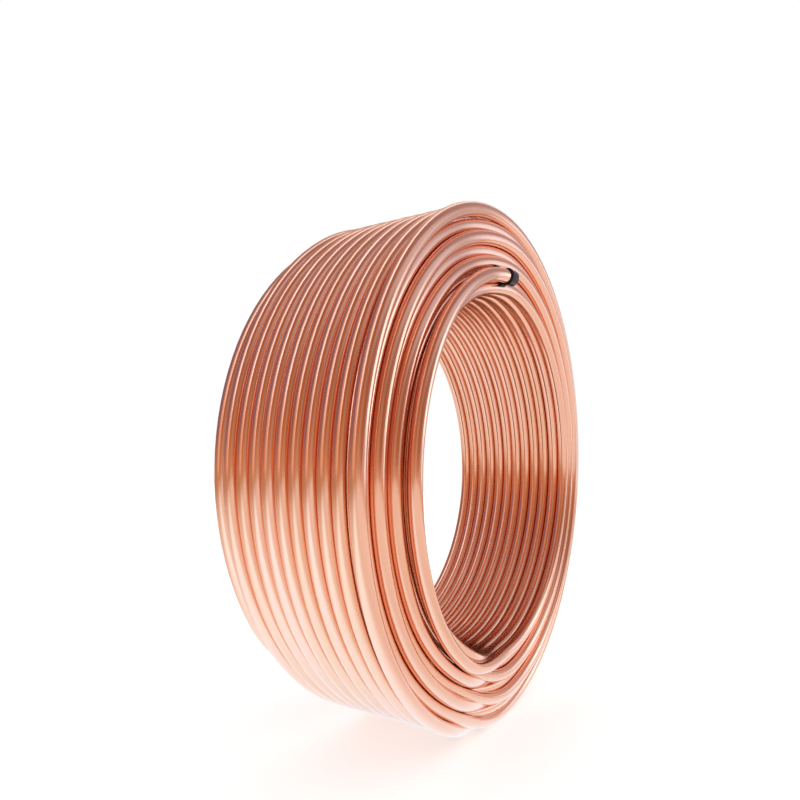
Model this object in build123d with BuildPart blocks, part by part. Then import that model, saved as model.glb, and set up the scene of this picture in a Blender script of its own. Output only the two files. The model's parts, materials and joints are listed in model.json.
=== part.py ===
"""Level-wound coil of soft copper tube, standing on its rim.

The coil's axis is level and runs along Y. The near face, with the free inner end of the tube,
looks towards -Y. The origin is on the floor, in the middle of the space that the coil takes
up with its capped ends, and +Z is up.
Angles are measured from the top of the coil, as seen from the near face.
"""

import os
from math import asin, atan, cos, degrees, radians, sin, sqrt, tan

from build123d import *

os.makedirs("parts", exist_ok=True)

# Driving dimensions, in millimetres and degrees
tube_diameter = 12.7
tube_wall = 0.8
bore_diameter = 359.0
turns_across = 12
layer_count = 7
corner_turn_gap = 7.3
contact_depth = 0.4
inner_end_angle = 9.0
inner_end_tuck_angle = 168.0
inner_end_dive_angle = 16.0
inner_end_side_count = 10
cap_wall = 2.1
cap_grip = 9.6
cap_end_thickness = 2.4
cap_clearance = 0.3
outer_end_angle = 45.0
outer_end_room = 6.0

# The turns nest in the valleys of the layer below, as round bars do in a stack
tube_radius = tube_diameter / 2
layer_step = tube_diameter * sqrt(3) / 2
bore_radius = bore_diameter / 2
outside_radius = bore_radius + tube_diameter + (layer_count - 1) * layer_step
coil_width = turns_across * tube_diameter
cap_radius = tube_radius + cap_wall

# Each turn on the rim is a ridge between two slopes, which meet where the round turns touch.
# On the faces every second layer has a flat crest, and the layer between is a valley's bottom.
rim_valley_depth = tube_radius
crest_half_width = tube_radius * tan(radians(30))
face_valley_slope = atan(tube_radius / (layer_step - crest_half_width))

# The inner end lies in a valley of the near face, and rises until its cap clears both slopes
inner_cap_height = (cap_radius + cap_clearance) / cos(face_valley_slope) - tube_radius
inner_end_lift = contact_depth + inner_cap_height

# The origin is midway between the outermost edges of the two caps
near_face = (inner_cap_height + tube_radius - coil_width) / 2


def layer_radius(layer):
    """Radius of the tube's centre line in a layer, counted from the outside."""
    return outside_radius - tube_radius - layer * layer_step


def turn_places(layer):
    """Where the turns of a layer lie along the axis: every second layer nests between."""
    nested = layer % 2
    first = near_face + tube_radius * (1 + nested)
    return [first + turn * tube_diameter for turn in range(turns_across - nested)]


# The outermost layer lacks one turn. Its last turn at the near face stands off, and rides on
# the turn below it instead of in a valley, so the coil stands on that turn.
outer_row = turn_places(0)[2:]
corner_turn = outer_row[0] - tube_diameter - corner_turn_gap
corner_lean = corner_turn - turn_places(1)[0]
corner_radius = layer_radius(1) + sqrt(tube_diameter**2 - corner_lean**2)
axis_height = corner_radius + tube_radius

coil_axis = Axis((0, 0, axis_height), (0, 1, 0))


def section_at(angle):
    """Plane through the axis, at an angle to the right of the top: x along the axis, y outwards."""
    turn = radians(angle)
    return Plane(origin=(0, 0, axis_height), x_dir=(0, 1, 0), z_dir=(cos(turn), 0, -sin(turn)))


def rim_outline(places):
    """Outline over turns that touch on the rim, with a ridge on each and a valley between."""
    points = []
    for place in places:
        points.append((place, outside_radius))
        if place != places[-1]:
            points.append((place + tube_radius, outside_radius - rim_valley_depth))
    return points


def face_outline(ends, outward):
    """Outline over the end turns of the layers on one face, outermost layer first."""
    points = []
    for layer, (place, radius) in enumerate(ends):
        level = place + outward * tube_radius
        if layer % 2:
            points.append((level, radius))
        else:
            points.append((level, radius + crest_half_width))
            points.append((level, radius - crest_half_width))
    return points


gap_floor = layer_radius(1) + tube_radius
corner_outline = [
    (corner_turn, axis_height),
    (corner_turn + tube_radius, axis_height - rim_valley_depth),
    (corner_turn + tube_radius, gap_floor),
    (outer_row[0] - tube_radius, gap_floor),
    (outer_row[0] - tube_radius, outside_radius - rim_valley_depth),
]
inner_layers = range(1, layer_count)
near_ends = [(corner_turn, corner_radius)]
near_ends += [(turn_places(layer)[0], layer_radius(layer)) for layer in inner_layers]
far_ends = [(turn_places(layer)[-1], layer_radius(layer)) for layer in range(layer_count)]
bore_turn = near_ends[-1][0]
far_turn = far_ends[0][0]

rim = corner_outline + rim_outline(outer_row)
bore = [(near_face + coil_width, bore_radius), (near_face, bore_radius)]
outline = rim + face_outline(far_ends, 1) + bore + face_outline(near_ends, -1)[::-1]

# The inner end runs round the near face, in front of the second innermost layer
inner_end_radius = layer_radius(layer_count - 2)
inner_end_tilt = degrees(asin(inner_end_lift / inner_end_radius))
inner_end_plane = Plane(
    origin=(0, near_face + contact_depth, axis_height),
    x_dir=(1, 0, 0),
    z_dir=(0, -cos(radians(inner_end_tilt)), -sin(radians(inner_end_tilt))),
)


def round_the_coil(plane, radius, angle):
    """Plane across the tube at an angle to the left of the top, facing along the turn."""
    turn = radians(angle)
    outwards = plane.y_dir * cos(turn) - plane.x_dir * sin(turn)
    along = -plane.x_dir * cos(turn) - plane.y_dir * sin(turn)
    return Plane(origin=plane.origin + outwards * radius, x_dir=plane.z_dir, z_dir=along)


inner_end_axis = Axis(inner_end_plane.origin, inner_end_plane.z_dir)
inner_end = round_the_coil(inner_end_plane, inner_end_radius, inner_end_angle)
tuck = round_the_coil(inner_end_plane, inner_end_radius, inner_end_tuck_angle)
first_turn_plane = Plane(origin=(0, bore_turn, axis_height), x_dir=(1, 0, 0), z_dir=(0, -1, 0))
first_turn_angle = inner_end_tuck_angle + inner_end_dive_angle
first_turn = round_the_coil(first_turn_plane, layer_radius(layer_count - 1), first_turn_angle)
inner_end_face = Plane(origin=inner_end.origin, x_dir=inner_end.x_dir, z_dir=-inner_end.z_dir)

# The outer end leaves the rim straight, until its cap clears the turn beside it
outer_end_rise = sqrt((cap_radius + tube_radius) ** 2 - tube_diameter**2) + cap_clearance
tail_length = sqrt(2 * layer_radius(0) * outer_end_rise) + cap_grip
far_turn_plane = Plane(origin=(0, far_turn, axis_height), x_dir=(1, 0, 0), z_dir=(0, -1, 0))
tail_root = round_the_coil(far_turn_plane, layer_radius(0), -outer_end_angle)
tail_face = tail_root.offset(tail_length - cap_grip)
notch_length = tail_length + cap_end_thickness + outer_end_room
notch_angle = degrees(notch_length / outside_radius)

with BuildPart() as copper_tube:
    # the wound body: one closed section turned about the axis
    with BuildSketch(section_at(0)):
        with BuildLine():
            Polyline(*outline, close=True)
        make_face()
    revolve(axis=coil_axis)

    # the last turn at the far face stops here, to make room for the outer end
    with BuildSketch(section_at(outer_end_angle - notch_angle)):
        with Locations((far_turn, outside_radius)):
            Rectangle(tube_diameter + 2 * cap_clearance, 2 * (outside_radius - gap_floor))
    revolve(axis=coil_axis, revolution_arc=notch_angle, mode=Mode.SUBTRACT)

    # the inner end: round the near face, then down into the first turn of the bore
    with BuildSketch(inner_end):
        RegularPolygon(tube_radius, inner_end_side_count, major_radius=False)
    revolve(axis=inner_end_axis, revolution_arc=inner_end_tuck_angle - inner_end_angle)
    with BuildLine() as dive:
        Spline(tuck.origin, first_turn.origin, tangents=(tuck.z_dir, first_turn.z_dir))
    with BuildSketch(tuck):
        RegularPolygon(tube_radius, inner_end_side_count, major_radius=False)
    sweep(path=dive.line)

    # the outer end: a straight tail off the rim
    with BuildSketch(tail_root):
        Circle(tube_radius)
    extrude(amount=tail_length - cap_grip)

    # both ends are open tube, inside their caps
    with BuildSketch(inner_end_face, tail_face):
        Circle(tube_radius)
        Circle(tube_radius - tube_wall, mode=Mode.SUBTRACT)
    extrude(amount=cap_grip)

copper_tube.part.label = "copper_tube"
export_step(copper_tube.part, "parts/copper_tube.step")


def push_on_cap(tube_face):
    """A moulded cap over the end of the tube, from a plane that faces out of the tube."""
    with BuildPart() as cap:
        with BuildSketch(tube_face):
            Circle(cap_radius)
        extrude(amount=cap_grip + cap_end_thickness)
        with BuildSketch(tube_face):
            Circle(tube_radius)
        extrude(amount=cap_grip, mode=Mode.SUBTRACT)
    return cap.part


inner_end_cap = push_on_cap(inner_end_face)
inner_end_cap.label = "inner_end_cap"
export_step(inner_end_cap, "parts/inner_end_cap.step")

outer_end_cap = push_on_cap(tail_face)
outer_end_cap.label = "outer_end_cap"
export_step(outer_end_cap, "parts/outer_end_cap.step")
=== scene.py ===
"""Copper tube coil: its looks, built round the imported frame. Sizes are in metres."""

import json
import math
import random

import bmesh
import bpy
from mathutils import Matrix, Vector


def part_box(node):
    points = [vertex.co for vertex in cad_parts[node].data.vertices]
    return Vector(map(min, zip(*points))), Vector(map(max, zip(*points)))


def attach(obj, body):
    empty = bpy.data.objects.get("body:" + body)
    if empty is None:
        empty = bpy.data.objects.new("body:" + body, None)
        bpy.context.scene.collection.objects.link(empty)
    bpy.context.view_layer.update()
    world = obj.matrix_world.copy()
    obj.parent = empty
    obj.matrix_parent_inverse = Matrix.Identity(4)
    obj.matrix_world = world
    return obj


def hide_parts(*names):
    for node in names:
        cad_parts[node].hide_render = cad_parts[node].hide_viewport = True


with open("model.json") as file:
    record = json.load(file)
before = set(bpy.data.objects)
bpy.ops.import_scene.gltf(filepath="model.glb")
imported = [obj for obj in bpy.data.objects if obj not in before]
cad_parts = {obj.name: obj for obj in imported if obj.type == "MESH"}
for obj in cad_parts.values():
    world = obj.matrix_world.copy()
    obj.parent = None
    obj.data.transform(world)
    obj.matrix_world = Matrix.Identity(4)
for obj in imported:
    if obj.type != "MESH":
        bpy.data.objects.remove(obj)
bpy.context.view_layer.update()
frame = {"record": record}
mounts = {mount["name"]: mount for mount in frame["record"]["mounts"]}

# Camera and studio
# A white floor in a white room, lit softly from all round. Mirror rays see something else: painted
# reflections from a glowing dome that lights nothing, with one bright painted highlight strip over
# the top of the coil, and painted tints on the floor.
studio = bpy.context.scene
studio.view_settings.view_transform = "Standard"
axis_height = mounts["bore"]["pos_m"][2]
white = (1.0, 1.0, 1.0)

camera = bpy.data.objects.new("camera", bpy.data.cameras.new("camera"))
camera.location = (-0.5728, -0.2965, 0.2437)
camera.rotation_euler = (math.radians(88.83), math.radians(-2.05), math.radians(-59.37))
camera.data.sensor_width = 36
camera.data.lens = 26.57
camera.data.shift_x = -0.0242
camera.data.shift_y = 0.1257
studio.collection.objects.link(camera)
studio.camera = camera

softbox_side = 0.8
softbox_radiance = 1.2
softbox_place = Vector((1.2, -1.6, 0.9))
softbox = bpy.data.objects.new("front_softbox", bpy.data.lights.new("front_softbox", "AREA"))
softbox.data.shape = "RECTANGLE"
softbox.data.size = softbox_side
softbox.data.size_y = softbox_side
softbox.data.energy = softbox_radiance * math.pi * softbox_side * softbox_side
softbox.location = softbox_place
towards_coil = Vector((0, 0, axis_height)) - softbox_place
softbox.rotation_euler = towards_coil.to_track_quat("-Z", "Y").to_euler()
studio.collection.objects.link(softbox)


def math_node(nodes, links, operation, first, second=None):
    """A Math node on a socket or number, and on a second one where it takes two."""
    node = nodes.new("ShaderNodeMath")
    node.operation = operation
    for socket, value in zip(node.inputs, (first, second)):
        if isinstance(value, (int, float)):
            socket.default_value = value
        elif value is not None:
            links.new(value, socket)
    return node.outputs[0]


def share_between(nodes, links, value, low, high):
    """A smooth share that goes from 0 at low to 1 at high."""
    node = nodes.new("ShaderNodeMapRange")
    node.interpolation_type = "SMOOTHSTEP"
    node.inputs["From Min"].default_value = low
    node.inputs["From Max"].default_value = high
    links.new(value, node.inputs["Value"])
    return node.outputs["Result"]


def band(nodes, links, value, one_side, other_side):
    """A band with soft edges. Each side gives where it is 0, and then where it is 1."""
    first = share_between(nodes, links, value, *one_side)
    second = share_between(nodes, links, value, *other_side)
    return math_node(nodes, links, "MULTIPLY", first, second)


def mixed_colours(nodes, links, share, first, second):
    """Two colours, each a socket or numbers, mixed by a share."""
    node = nodes.new("ShaderNodeMix")
    node.data_type = "RGBA"
    links.new(share, node.inputs["Factor"])
    for socket, value in ((node.inputs[6], first), (node.inputs[7], second)):
        if isinstance(value, tuple):
            socket.default_value = (*value, 1)
        else:
            links.new(value, socket)
    return node.outputs[2]


def colour_ramp(nodes, links, value, stops):
    """A colour ramp over a value that runs from the first stop's place to the last one's."""
    low, high = stops[0][0], stops[-1][0]
    span = nodes.new("ShaderNodeMapRange")
    span.inputs["From Min"].default_value = low
    span.inputs["From Max"].default_value = high
    links.new(value, span.inputs["Value"])
    node = nodes.new("ShaderNodeValToRGB")
    links.new(span.outputs["Result"], node.inputs["Fac"])
    ramp = node.color_ramp
    while len(ramp.elements) < len(stops):
        ramp.elements.new(0.5)
    for element, (place, colour) in zip(ramp.elements, stops):
        element.position = (place - low) / (high - low)
        element.color = (*colour, 1)
    return node.outputs["Color"]


def level_where_seen(nodes, links, rays, unseen, seen):
    """One level for rays that carry light, and another for those that see, mirror or look through."""
    sight = math_node(
        nodes, links, "MAXIMUM", rays.outputs["Is Camera Ray"], rays.outputs["Is Glossy Ray"],
    )
    sight = math_node(nodes, links, "MAXIMUM", sight, rays.outputs["Is Transmission Ray"])
    level = nodes.new("ShaderNodeMapRange")
    level.inputs["To Min"].default_value = unseen
    level.inputs["To Max"].default_value = seen
    links.new(sight, level.inputs["Value"])
    return level.outputs["Result"]


def finished_object(name, form):
    """Puts a finished mesh into the scene, as an object at the origin."""
    mesh = bpy.data.meshes.new(name)
    form.to_mesh(mesh)
    form.free()
    thing = bpy.data.objects.new(name, mesh)
    studio.collection.objects.link(thing)
    return thing


room = bpy.data.worlds.new("white_room")
studio.world = room
room.use_nodes = True
nodes, links = room.node_tree.nodes, room.node_tree.links
rays = nodes.new("ShaderNodeLightPath")
level = level_where_seen(nodes, links, rays, 0.75, 1.0)
links.new(level, nodes["Background"].inputs["Strength"])
nodes["Background"].inputs["Color"].default_value = (*white, 1)

floor_half_side = 60
floor_mesh = bmesh.new()
bmesh.ops.create_grid(floor_mesh, x_segments=1, y_segments=1, size=floor_half_side)
floor = finished_object("floor", floor_mesh)
paper = bpy.data.materials.new("white_paper")
paper.use_nodes = True
nodes, links = paper.node_tree.nodes, paper.node_tree.links
sheet = nodes["Principled BSDF"]
sheet.inputs["Roughness"].default_value = 0.9
sheet.inputs["Specular IOR Level"].default_value = 0.1
rays = nodes.new("ShaderNodeLightPath")
mirrored = rays.outputs["Is Glossy Ray"]
spot = nodes.new("ShaderNodeTexCoord")
across = nodes.new("ShaderNodeSeparateXYZ")
links.new(spot.outputs["Object"], across.inputs["Vector"])
# away is the distance from the coil towards -X and +Y, where the floor seen in mirrors turns brown, a
# painted dark reflection
left = math_node(nodes, links, "MULTIPLY", across.outputs["X"], -0.8)
back = math_node(nodes, links, "MULTIPLY", across.outputs["Y"], 0.6)
away = math_node(nodes, links, "ADD", left, back)
far_floor_painted_reflection = share_between(nodes, links, away, 0.35, 2.2)
far_floor_painted_reflection = math_node(nodes, links, "MULTIPLY", far_floor_painted_reflection, mirrored)
# painted highlight: in mirrors only, a cool strip of floor near the coil glows brighter than white,
# and the rest of the floor glows in tints, painted reflections for the copper
near_painted_highlight = band(nodes, links, across.outputs["Y"], (-0.3, -0.02), (0.45, 0.12))
near_painted_highlight = math_node(nodes, links, "MULTIPLY", near_painted_highlight, mirrored)
off_strip_painted_reflection = math_node(nodes, links, "SUBTRACT", mirrored, near_painted_highlight)
white_lift_and_painted_reflection = mixed_colours(nodes, links, near_painted_highlight, white, (1.1, 2.05, 2.75))
white_lift_and_painted_reflection = mixed_colours(nodes, links, off_strip_painted_reflection, white_lift_and_painted_reflection, (0.6, 0.55, 0.5))
white_lift_and_painted_reflection = mixed_colours(nodes, links, far_floor_painted_reflection, white_lift_and_painted_reflection, (0.4, 0.2, 0.08))
links.new(white_lift_and_painted_reflection, sheet.inputs["Emission Color"])
# the paper's own pale grey, turned brown far away in mirrors only: a painted dark reflection
paper_and_painted_reflection = mixed_colours(nodes, links, far_floor_painted_reflection, (0.9, 0.9, 0.9), (0.5, 0.34, 0.22))
links.new(paper_and_painted_reflection, sheet.inputs["Base Color"])
# the glow lifts the floor to white where it is seen, and carries the painted reflections where it is
# mirrored
level = level_where_seen(nodes, links, rays, 0.0, 0.45)
links.new(level, sheet.inputs["Emission Strength"])
floor.data.materials.append(paper)

# painted reflections: a glowing dome that only mirror rays see. It lights nothing and casts no
# shadow, and paints the copper's highlights and dark bands
dome_radius = 5.0
dome_mesh = bmesh.new()
bmesh.ops.create_uvsphere(dome_mesh, u_segments=96, v_segments=48, radius=dome_radius)
bmesh.ops.translate(dome_mesh, verts=dome_mesh.verts, vec=(0, 0, axis_height))
dome = finished_object("studio_dome", dome_mesh)
dome.visible_camera = False
dome.visible_diffuse = False
dome.visible_transmission = False
dome.visible_shadow = False
studio_cards = bpy.data.materials.new("studio_cards")
studio_cards.use_nodes = True
nodes, links = studio_cards.node_tree.nodes, studio_cards.node_tree.links
nodes.remove(nodes["Principled BSDF"])
glow = nodes.new("ShaderNodeEmission")
links.new(glow.outputs["Emission"], nodes["Material Output"].inputs["Surface"])
spot = nodes.new("ShaderNodeTexCoord")
centred = nodes.new("ShaderNodeMapping")
centred.inputs["Location"].default_value = (0, 0, -axis_height)
links.new(spot.outputs["Object"], centred.inputs["Vector"])
ray = nodes.new("ShaderNodeVectorMath")
ray.operation = "NORMALIZE"
links.new(centred.outputs["Vector"], ray.inputs[0])
towards = nodes.new("ShaderNodeSeparateXYZ")
links.new(ray.outputs["Vector"], towards.inputs["Vector"])
# lean is the angle towards +Y, and arc the one from -X over the top to +X, both in degrees
degrees_in_a_radian = 180 / math.pi
lean = math_node(nodes, links, "ARCSINE", towards.outputs["Y"])
lean = math_node(nodes, links, "MULTIPLY", lean, degrees_in_a_radian)
left = math_node(nodes, links, "MULTIPLY", towards.outputs["X"], -1.0)
arc = math_node(nodes, links, "ARCTAN2", towards.outputs["Z"], left)
arc = math_node(nodes, links, "MULTIPLY", arc, degrees_in_a_radian)
# painted reflections: dark mauve and brown bands behind and above, and orange ones at the sides and
# front, which the copper mirrors as its dark and orange bands
back_painted_reflection = colour_ramp(nodes, links, arc, [
    (-5, (0.62, 0.36, 0.28)), (10, (0.42, 0.24, 0.22)), (28, (0.28, 0.19, 0.28)),
    (75, (0.25, 0.18, 0.27)), (120, (0.38, 0.24, 0.2)), (150, (0.6, 0.5, 0.45)), (180, white),
])
side_painted_reflection = colour_ramp(nodes, links, arc, [
    (-5, (0.8, 0.54, 0.36)), (15, (0.85, 0.54, 0.36)), (40, (0.75, 0.46, 0.3)),
    (100, (0.6, 0.36, 0.26)), (140, (0.8, 0.65, 0.55)), (180, white),
])
front_painted_reflection = colour_ramp(nodes, links, arc, [
    (-5, (0.75, 0.4, 0.24)), (15, (0.5, 0.2, 0.08)), (60, (0.4, 0.16, 0.07)),
    (100, (0.38, 0.26, 0.26)), (135, (0.45, 0.36, 0.38)), (180, (0.72, 0.66, 0.68)),
])
# painted highlight: a pale window in the front, mirrored by the near face of the coil
painted_window_highlight = colour_ramp(nodes, links, arc, [
    (0, (0.6, 0.45, 0.35)), (40, (0.4, 0.28, 0.24)), (80, (0.6, 0.56, 0.62)),
    (140, (0.76, 0.82, 1.0)), (180, (1.3, 1.6, 2.0)),
])
# painted highlight: a bright cool strip over the top, mirrored by each turn as a thin highlight line
painted_strip_highlight = colour_ramp(nodes, links, arc, [
    (-5, (0.9, 0.7, 0.6)), (14, (0.95, 0.9, 0.9)), (34, (1.6, 2.0, 2.6)),
    (85, (1.6, 2.0, 2.6)), (120, (1.2, 1.3, 1.4)), (180, white),
])
in_painted_window = band(nodes, links, lean, (-56, -44), (-22, -32))
front_painted_reflection = mixed_colours(nodes, links, in_painted_window, front_painted_reflection, painted_window_highlight)
painted_reflection_bands = mixed_colours(nodes, links, share_between(nodes, links, lean, 26, 38), side_painted_reflection, back_painted_reflection)
painted_reflection_bands = mixed_colours(nodes, links, share_between(nodes, links, lean, -2, 4), front_painted_reflection, painted_reflection_bands)
in_strip = band(nodes, links, lean, (1, 6), (18, 10))
painted_reflection_bands = mixed_colours(nodes, links, in_strip, painted_reflection_bands, painted_strip_highlight)
links.new(painted_reflection_bands, glow.inputs["Color"])
dome.data.materials.append(studio_cards)

# Winding
# Soft copper tube wound turn beside turn on a drum, in seven layers that nest in each other's
# valleys. The tube is drawn, then annealed bright. The drum is gone, and leaves an open bore.
bore_radius = mounts["bore"]["dims"]["r_mm"] / 1000
far_face = mounts["far_face"]["pos_m"][1]
turns_across = 12
layer_count = 7
tube_diameter = mounts["bore"]["dims"]["length_mm"] / 1000 / turns_across
tube_radius = tube_diameter / 2
layer_step = tube_diameter * math.sqrt(3) / 2
last_place = turns_across - 1
last_rim_place = last_place - 2
corner_place = 10.575
points_a_turn = 120
angle_step = 360 / points_a_turn
rounding = 1e-6
step_angle = 169.0
step_width = 34.0

# How the winding has settled. Angles are degrees to the left of the top, and places and leans are
# in tube diameters along the axis. The sprung turn's rise is in layer steps, and the rim's lift and
# the wobble outwards are in metres.
spread_rise = 30.0
spread_end = 125.0
spread_fall = 40.0
inner_layers_lean = 0.5
rim_lean = 0.34
rim_lift = 0.0008
sprung_start = 8.0
sprung_width = 30.0
sprung_place = -0.5
sprung_rise = 0.4
wobble_along = 0.022
wobble_out = 0.00022
winding_chance = random.Random(12)


def layer_radius(layer):
    """Radius of the tube's centre line in a layer, counted from the outside."""
    return bore_radius + tube_radius + (layer_count - 1 - layer) * layer_step


def on_coil(angle, radius, place):
    """Point at an angle to the left of the top, and a place in tube diameters from the far face."""
    turn = math.radians(angle)
    return Vector((
        -radius * math.sin(turn),
        far_face - tube_radius - place * tube_diameter,
        axis_height + radius * math.cos(turn),
    ))


def eased(share):
    """A share from 0 to 1 with a smooth start and end."""
    share = min(max(share, 0.0), 1.0)
    return share * share * (3 - 2 * share)


def turn_places(layer):
    """Places of a layer's turns, in the order that they are wound."""
    if layer == 0:
        return [corner_place, *range(last_rim_place, -1, -1)]
    if layer % 2:
        return [0.5 + turn for turn in range(last_place)]
    return list(range(last_place, -1, -1))


def round_tube(name, line):
    """Round tube along a line of points, with a UV map: metres along it, share of the way round."""
    path = bpy.data.curves.new(name, "CURVE")
    path.dimensions = "3D"
    path.bevel_depth = tube_radius
    path.bevel_resolution = 6
    run = path.splines.new("POLY")
    run.points.add(len(line) - 1)
    length = 0.0
    for spot, (point, place) in enumerate(zip(run.points, line)):
        point.co = (*place, 1)
        length += (place - line[spot - 1]).length if spot else 0.0
    run.use_smooth = True
    wire = bpy.data.objects.new(name, path)
    studio.collection.objects.link(wire)
    bare_mesh = bpy.data.meshes.new_from_object(wire)
    bpy.data.objects.remove(wire)
    form = bmesh.new()
    form.from_mesh(bare_mesh)
    bpy.data.meshes.remove(bare_mesh)
    unwrapped = form.loops.layers.uv.verify()
    for face in form.faces:
        for loop in face.loops:
            loop[unwrapped].uv.x *= length
    bmesh.ops.recalc_face_normals(form, faces=form.faces)
    return finished_object(name, form)


turns = []
for layer in range(layer_count - 1, -1, -1):
    for place in turn_places(layer):
        radius = layer_radius(layer)
        if place == corner_place:
            radius = axis_height - tube_radius
        turns.append((layer, place, radius))
wobbles = [[winding_chance.uniform(-1, 1) for _ in range(4)] for _ in turns]


def settled(angle, turn, place, radius):
    """A turn's place and radius on the left of the coil, where the winding has spread a little."""
    layer, wound_place, _ = turns[turn]
    clock = angle % 360
    spread = eased(clock / spread_rise) * (1 - eased((clock - spread_end) / spread_fall))
    if layer:
        place -= inner_layers_lean * spread * place / last_place
    elif 1 < wound_place <= last_rim_place:
        place += rim_lean * spread * (place - 1) / (last_rim_place - 1)
    if layer == 1 and wound_place == 0.5:
        # the second layer's last turn at the far face has sprung out beyond the rim
        sprung = eased((clock - sprung_start) / sprung_width)
        sprung *= 1 - eased((clock - spread_end) / sprung_width)
        place += (sprung_place - place) * sprung
        radius += sprung_rise * layer_step * sprung
    if layer == 0 and wound_place == 1:
        radius += rim_lift * spread
    along, out, first, second = wobbles[turn]
    place += wobble_along * along * math.sin(math.radians(clock) + 3 * first)
    radius += wobble_out * out * math.sin(math.radians(2 * clock) + 3 * second)
    return place, radius


def between_turns(turn, angle):
    """Place and radius on a turn: it steps over to the next one near the bottom."""
    _, place, radius = turns[turn]
    place, radius = settled(angle, turn, place, radius)
    ahead = (angle - step_angle - 360) / step_width + 0.5
    behind = 0.5 - (angle - step_angle) / step_width
    other, share = turn, 0.0
    if ahead > 0 and turn + 1 < len(turns):
        other, share = turn + 1, eased(ahead)
    elif behind > 0 and turn:
        other, share = turn - 1, eased(behind)
    _, other_place, other_radius = turns[other]
    other_place, other_radius = settled(angle, other, other_place, other_radius)
    return place + (other_place - place) * share, radius + (other_radius - radius) * share


# the free inner end springs out in front of the second innermost layer, and dives into the first
# turn of the bore near the bottom
inner_end_angle = 10.9
tuck_angle = 169.0
dive_width = 34.0
inner_end_place = 11.42
inner_end_rise = 0.4
inner_end_droop = 0.0038
sprung_end_width = 14
inner_line = []
angle = inner_end_angle
while angle < step_angle + step_width / 2:
    dive = eased((angle - tuck_angle) / dive_width + 0.5)
    lifted = max(0.0, 1 - (angle - inner_end_angle) / sprung_end_width) ** 2
    place = inner_end_place + inner_end_rise * lifted
    place += (turns[0][1] - place) * dive
    radius = layer_radius(layer_count - 2) - inner_end_droop * lifted
    radius += (layer_radius(layer_count - 1) - radius) * dive
    inner_line.append(on_coil(angle, radius, place))
    angle += angle_step
dive_end_angle = angle

layers = []
for layer in range(layer_count - 1, -1, -1):
    line = list(inner_line) if layer == layer_count - 1 else []
    its_turns = [turn for turn, (its_layer, _, _) in enumerate(turns) if its_layer == layer]
    for turn in its_turns:
        angle = step_angle if turn else dive_end_angle
        while angle < step_angle + 360 - rounding:
            place, radius = between_turns(turn, angle)
            line.append(on_coil(angle, radius, place))
            angle += angle_step
    last = its_turns[-1]
    if last + 1 < len(turns):
        place, radius = between_turns(last, step_angle + 360)
        line.append(on_coil(step_angle + 360, radius, place))
    layers.append((layer, line))

# the outer end leaves the rim straight at the upper right, and ends in its cap
outer_end_angle = -45.0
tail_points = 8
tail_low, tail_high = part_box("outer_end_cap")
layer, outer_line = layers[-1]
turn_left = int((360 + outer_end_angle - step_angle) / 360 * points_a_turn)
outer_line = outer_line[: len(outer_line) - points_a_turn + turn_left + 1]
root = outer_line[-1]
outer_way = (outer_line[-1] - outer_line[-2]).normalized()
tail_length = ((tail_low + tail_high) / 2 - root).dot(outer_way)
outer_line += [
    root + outer_way * tail_length * point / tail_points for point in range(1, tail_points + 1)
]
layers[-1] = (layer, outer_line)

noise_group = bpy.data.node_groups.new("stretched_noise", "ShaderNodeTree")
sockets = noise_group.interface
sockets.new_socket("Pattern place", in_out="INPUT", socket_type="NodeSocketVector")
sockets.new_socket("Pattern scale", in_out="INPUT", socket_type="NodeSocketVector")
sockets.new_socket("Detail", in_out="INPUT", socket_type="NodeSocketFloat")
sockets.new_socket("Noise", in_out="OUTPUT", socket_type="NodeSocketFloat")
nodes, links = noise_group.nodes, noise_group.links
given = nodes.new("NodeGroupInput")
stretch = nodes.new("ShaderNodeMapping")
noise = nodes.new("ShaderNodeTexNoise")
noise.inputs["Scale"].default_value = 1.0
links.new(given.outputs["Pattern place"], stretch.inputs["Vector"])
links.new(given.outputs["Pattern scale"], stretch.inputs["Scale"])
links.new(stretch.outputs["Vector"], noise.inputs["Vector"])
links.new(given.outputs["Detail"], noise.inputs["Detail"])
links.new(noise.outputs["Fac"], nodes.new("NodeGroupOutput").inputs["Noise"])


def stretched_noise(nodes, links, source, scale, detail):
    """The noise group in a material, at its own scale along each direction of the source."""
    node = nodes.new("ShaderNodeGroup")
    node.node_tree = noise_group
    node.inputs["Pattern scale"].default_value = scale
    node.inputs["Detail"].default_value = detail
    links.new(source, node.inputs["Pattern place"])
    return node.outputs["Noise"]


copper = bpy.data.materials.new("bright_copper")
copper.use_nodes = True
nodes, links = copper.node_tree.nodes, copper.node_tree.links
skin = nodes["Principled BSDF"]
skin.inputs["Metallic"].default_value = 1
tube_map = nodes.new("ShaderNodeUVMap")
tube_map.uv_map = "UVMap"
on_tube = tube_map.outputs["UV"]
drawn_lines = stretched_noise(nodes, links, on_tube, (9.0, 70.0, 1.0), 3.0)
tarnish = stretched_noise(nodes, links, on_tube, (3.2, 2.5, 1.0), 4.0)
rubs = stretched_noise(nodes, links, on_tube, (40.0, 9.0, 1.0), 5.0)
tarnished = share_between(nodes, links, tarnish, 0.42, 0.72)
lined = share_between(nodes, links, drawn_lines, 0.3, 0.75)
lined = math_node(nodes, links, "MULTIPLY", lined, 0.3)
colour = mixed_colours(nodes, links, tarnished, (0.91, 0.50, 0.355), (0.86, 0.44, 0.27))
colour = mixed_colours(nodes, links, lined, colour, (0.95, 0.58, 0.45))
links.new(colour, skin.inputs["Base Color"])
rubbed = share_between(nodes, links, rubs, 0.58, 0.75)
rubbed = math_node(nodes, links, "MULTIPLY", rubbed, 0.10)
rough = math_node(nodes, links, "MULTIPLY", drawn_lines, 0.12)
rough = math_node(nodes, links, "ADD", rough, rubbed)
rough = math_node(nodes, links, "ADD", rough, 0.09)
links.new(rough, skin.inputs["Roughness"])
bump = nodes.new("ShaderNodeBump")
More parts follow.
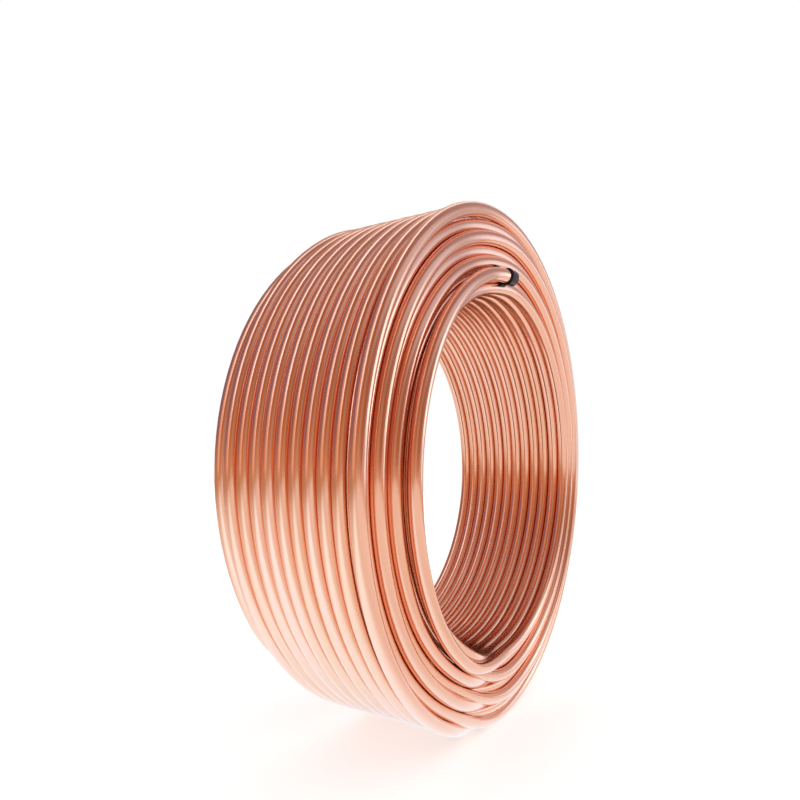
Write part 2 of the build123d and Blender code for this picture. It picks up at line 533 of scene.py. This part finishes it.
bump.inputs["Strength"].default_value = 0.25
bump.inputs["Distance"].default_value = 0.0002
links.new(drawn_lines, bump.inputs["Height"])
links.new(bump.outputs["Normal"], skin.inputs["Normal"])

for layer, line in layers:
    piece = round_tube("winding_layer_%d" % (layer + 1), line)
    piece.data.materials.append(copper)
    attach(piece, "root")
    if layer == layer_count - 1:
        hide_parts("copper_tube")

# End caps
# Dark moulded plastic caps, pushed over both ends of the tube to keep it clean inside.
# Each has a round end, and a small bead round its open rim.
cap_plastic = bpy.data.materials.new("cap_plastic")
cap_plastic.use_nodes = True
nodes, links = cap_plastic.node_tree.nodes, cap_plastic.node_tree.links
skin = nodes["Principled BSDF"]
on_piece = nodes.new("ShaderNodeTexCoord").outputs["Object"]
mottle = stretched_noise(nodes, links, on_piece, (420.0, 420.0, 420.0), 4.0)
scuffed = share_between(nodes, links, mottle, 0.5, 0.75)
colour = mixed_colours(nodes, links, scuffed, (0.009, 0.004, 0.014), (0.03, 0.016, 0.045))
links.new(colour, skin.inputs["Base Color"])
skin.inputs["Specular IOR Level"].default_value = 0.25
rough = math_node(nodes, links, "MULTIPLY", mottle, 0.3)
rough = math_node(nodes, links, "ADD", rough, 0.05)
links.new(rough, skin.inputs["Roughness"])
cap_radius = 0.0076
cap_bead_radius = cap_radius * 1.05
cap_grip = 0.0096
cap_end = 0.0024
cap_sides = 40


def push_on_cap(name, node, end, inward):
    """A turned cap with rounded edges. Its open rim is on the tube, inward from the tube's end."""
    outline = [
        (0.0, -cap_end), (cap_radius * 0.62, -cap_end), (cap_radius * 0.86, -cap_end * 0.85),
        (cap_radius * 0.97, -cap_end * 0.45), (cap_radius, 0.0004), (cap_radius, cap_grip * 0.85),
        (cap_bead_radius, cap_grip * 0.88), (cap_bead_radius, cap_grip * 0.97),
        (cap_radius, cap_grip), (tube_radius * 0.99, cap_grip),
    ]
    form = bmesh.new()
    side = inward.orthogonal().normalized()
    edges = []
    back = None
    for radius, depth in outline:
        vert = form.verts.new(end + inward * depth + side * radius)
        if back:
            edges.append(form.edges.new((back, vert)))
        back = vert
    bmesh.ops.spin(
        form, geom=edges, cent=end, axis=inward, angle=2 * math.pi, steps=cap_sides, use_merge=True,
    )
    bmesh.ops.remove_doubles(form, verts=form.verts, dist=1e-6)
    bmesh.ops.recalc_face_normals(form, faces=form.faces)
    for face in form.faces:
        face.smooth = True
    piece = finished_object(name, form)
    piece.data.materials.append(cap_plastic)
    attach(piece, "root")
    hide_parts(node)


inner_way = (inner_line[1] - inner_line[0]).normalized()
push_on_cap("inner_end_cap_body", "inner_end_cap", inner_line[0], inner_way)
push_on_cap("outer_end_cap_body", "outer_end_cap", outer_line[-1], -outer_way)
